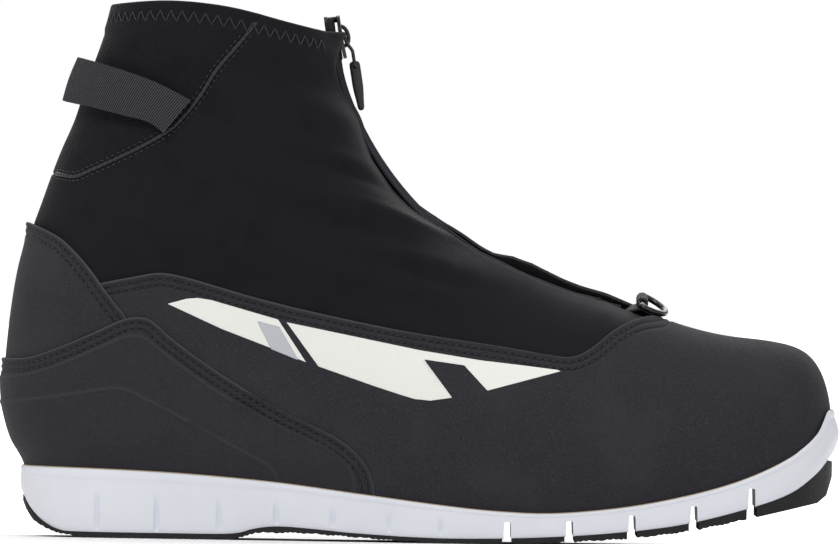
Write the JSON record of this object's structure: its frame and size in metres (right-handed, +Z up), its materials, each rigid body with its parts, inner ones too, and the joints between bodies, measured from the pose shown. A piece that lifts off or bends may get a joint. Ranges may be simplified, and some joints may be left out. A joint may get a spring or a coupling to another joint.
{
  "type": "cross country ski boot",
  "caption": "Ankle-high cross country ski boot with a zipped stretch gaiter, laced inner boot, soft lower shell, white midsole, grooved rubber tread and a steel toe bar.",
  "frame": {"origin": "on the ground under the middle of the heel tread, in the boot's centre plane", "axes": "+X towards the toe, +Z up, -Y the lateral (outer) side of a right boot"},
  "size_m": [0.2993, 0.1012, 0.193],
  "materials": {
    "softshell": "matte coated softshell with a fine grain",
    "stretch_fabric": "matte black stretch weave",
    "ribbed_fabric": "ribbed diagonal stretch weave",
    "webbing": "grosgrain webbing",
    "coated_fabric": "smooth coated fabric",
    "lining": "brushed lining over thin foam",
    "stiffener_board": "stiffener sheet",
    "foam": "fabric-covered foam",
    "white_sole": "cool white TPU, satin",
    "rubber": "black rubber, matte",
    "shank_composite": "glass-filled nylon",
    "moulded_plastic": "black moulded plastic",
    "zip_coil": "black nylon coil",
    "black_metal": "gloss black enamel",
    "steel": "bright steel",
    "white_print": "white heat-pressed film",
    "lace_cord": "braided cord"
  },
  "bodies": {
    "boot": {"midsole_rear": "white_sole", "outsole_heel": "rubber", "outsole_waist": "rubber", "outsole_lug_1": "rubber", "outsole_lug_2": "rubber", "shank": "shank_composite", "lasting_board": "stiffener_board", "insole": "foam", "quarter_shell": "softshell", "vamp_flex_zone": "softshell", "back_panel": "softshell", "heel_cap": "coated_fabric", "heel_counter": "stiffener_board", "liner": "lining", "tongue": "lining", "eyestay_lateral": "coated_fabric", "eyestay_medial": "coated_fabric", "lace_loop_lateral_1": "webbing", "lace_loop_lateral_2": "webbing", "lace_loop_lateral_3": "webbing", "lace_loop_lateral_4": "webbing", "lace_loop_medial_1": "webbing", "lace_loop_medial_2": "webbing", "lace_loop_medial_3": "webbing", "lace_loop_medial_4": "webbing", "lace": "lace_cord", "gaiter_instep_lateral": "stretch_fabric", "gaiter_instep_medial": "stretch_fabric", "achilles_panel": "ribbed_fabric", "collar_band_rear": "stretch_fabric", "zip_tape_lateral": "coated_fabric", "zip_tape_medial": "coated_fabric", "zip_coil_lateral": "zip_coil", "zip_coil_medial": "zip_coil", "zip_bottom_stop": "moulded_plastic", "ring_strap": "webbing", "rear_flash_lateral": "white_print", "rear_flash_medial": "white_print", "front_flash_lateral": "white_print", "front_flash_medial": "white_print"},
    "forefoot": {"toe_shell": "softshell", "toe_puff": "stiffener_board", "midsole_front": "white_sole", "outsole_lug_3": "rubber", "outsole_lug_4": "rubber", "outsole_toe": "rubber", "toe_bar": "steel", "bar_cage": "moulded_plastic"},
    "flap_lateral": {"gaiter_flap_lateral": "stretch_fabric", "collar_band_lateral": "stretch_fabric"},
    "flap_medial": {"gaiter_flap_medial": "stretch_fabric", "collar_band_medial": "stretch_fabric"},
    "zip_slider": {"slider_body": "black_metal"},
    "zip_pull": {"pull_link": "black_metal", "pull_grip": "moulded_plastic"},
    "ring": {"d_ring": "black_metal"},
    "pull_loop": {"heel_loop": "webbing"}
  },
  "joints": [
    {"name": "forefoot_flex", "type": "hinge", "parent": "boot", "child": "forefoot", "pos_m": [0.1731, 0, 0.0149], "axis": [0, -1, 0], "range_deg": [0, 25], "deforming": ["vamp_flex_zone", "lasting_board", "insole", "liner"]},
    {"name": "flap_lateral_swing", "type": "hinge", "parent": "boot", "child": "flap_lateral", "pos_m": [0.005, -0.03898, 0.1435], "axis": [-0.5668, -0.0184, -0.8236], "range_deg": [0, 30], "deforming": ["zip_tape_lateral", "zip_coil_lateral"]},
    {"name": "flap_medial_swing", "type": "hinge", "parent": "boot", "child": "flap_medial", "pos_m": [0.005, 0.03898, 0.1435], "axis": [0.5668, -0.0184, 0.8236], "range_deg": [0, 30], "deforming": ["zip_tape_medial", "zip_coil_medial"]},
    {"name": "zip_slide", "type": "hinge", "parent": "boot", "child": "zip_slider", "pos_m": [0.178, 0, 0.203], "axis": [0, -1, 0], "range_deg": [0, 55], "deforming": ["zip_tape_lateral", "zip_coil_lateral", "zip_tape_medial", "zip_coil_medial"]},
    {"name": "pull_swing", "type": "hinge", "parent": "zip_slider", "child": "zip_pull", "pos_m": [0.06732, 0, 0.18149], "axis": [0, -1, 0], "range_deg": [0, 140]},
    {"name": "ring_swing", "type": "hinge", "parent": "boot", "child": "ring", "pos_m": [0.1758, 0, 0.088], "axis": [0, -0.9744, -0.225], "range_deg": [0, 120]},
    {"name": "loop_swing", "type": "hinge", "parent": "boot", "child": "pull_loop", "pos_m": [0.0105, 0, 0.1526], "axis": [0, 1, 0], "range_deg": [-5, 15]}
  ],
  "couplings": [
    {"joint": "flap_medial_swing", "follows": "flap_lateral_swing", "ratio": 1},
    {"joint": "zip_slide", "follows": "flap_lateral_swing", "ratio": 1.8333}
  ]
}
